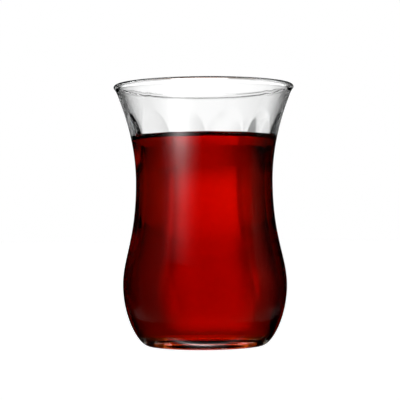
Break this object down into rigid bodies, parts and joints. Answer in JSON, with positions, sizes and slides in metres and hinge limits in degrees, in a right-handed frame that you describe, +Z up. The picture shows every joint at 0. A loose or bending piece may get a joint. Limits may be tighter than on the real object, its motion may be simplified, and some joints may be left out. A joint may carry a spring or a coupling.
{
  "type": "turkish tea glass filled with tea",
  "caption": "Waisted clear glass with a flared, round-lipped mouth, a full belly and panelled bore, filled with dark red tea to below the mouth.",
  "frame": {"origin": "middle of the foot's underside, in the plane of the surface that the glass stands on", "axes": "+Z up along the glass's axis; a corner between two panels of the bore lies on -Y, the side that the picture's camera nearly faces"},
  "size_m": [0.06, 0.06, 0.0867],
  "materials": {
    "clear_glass": "clear soda-lime glass, smooth outside, fire-polished lip",
    "red_tea": "strong black tea, clear and dark red, a still liquid"
  },
  "bodies": {
    "root": {"glass": "clear_glass", "tea": "red_tea"}
  },
  "joints": []
}
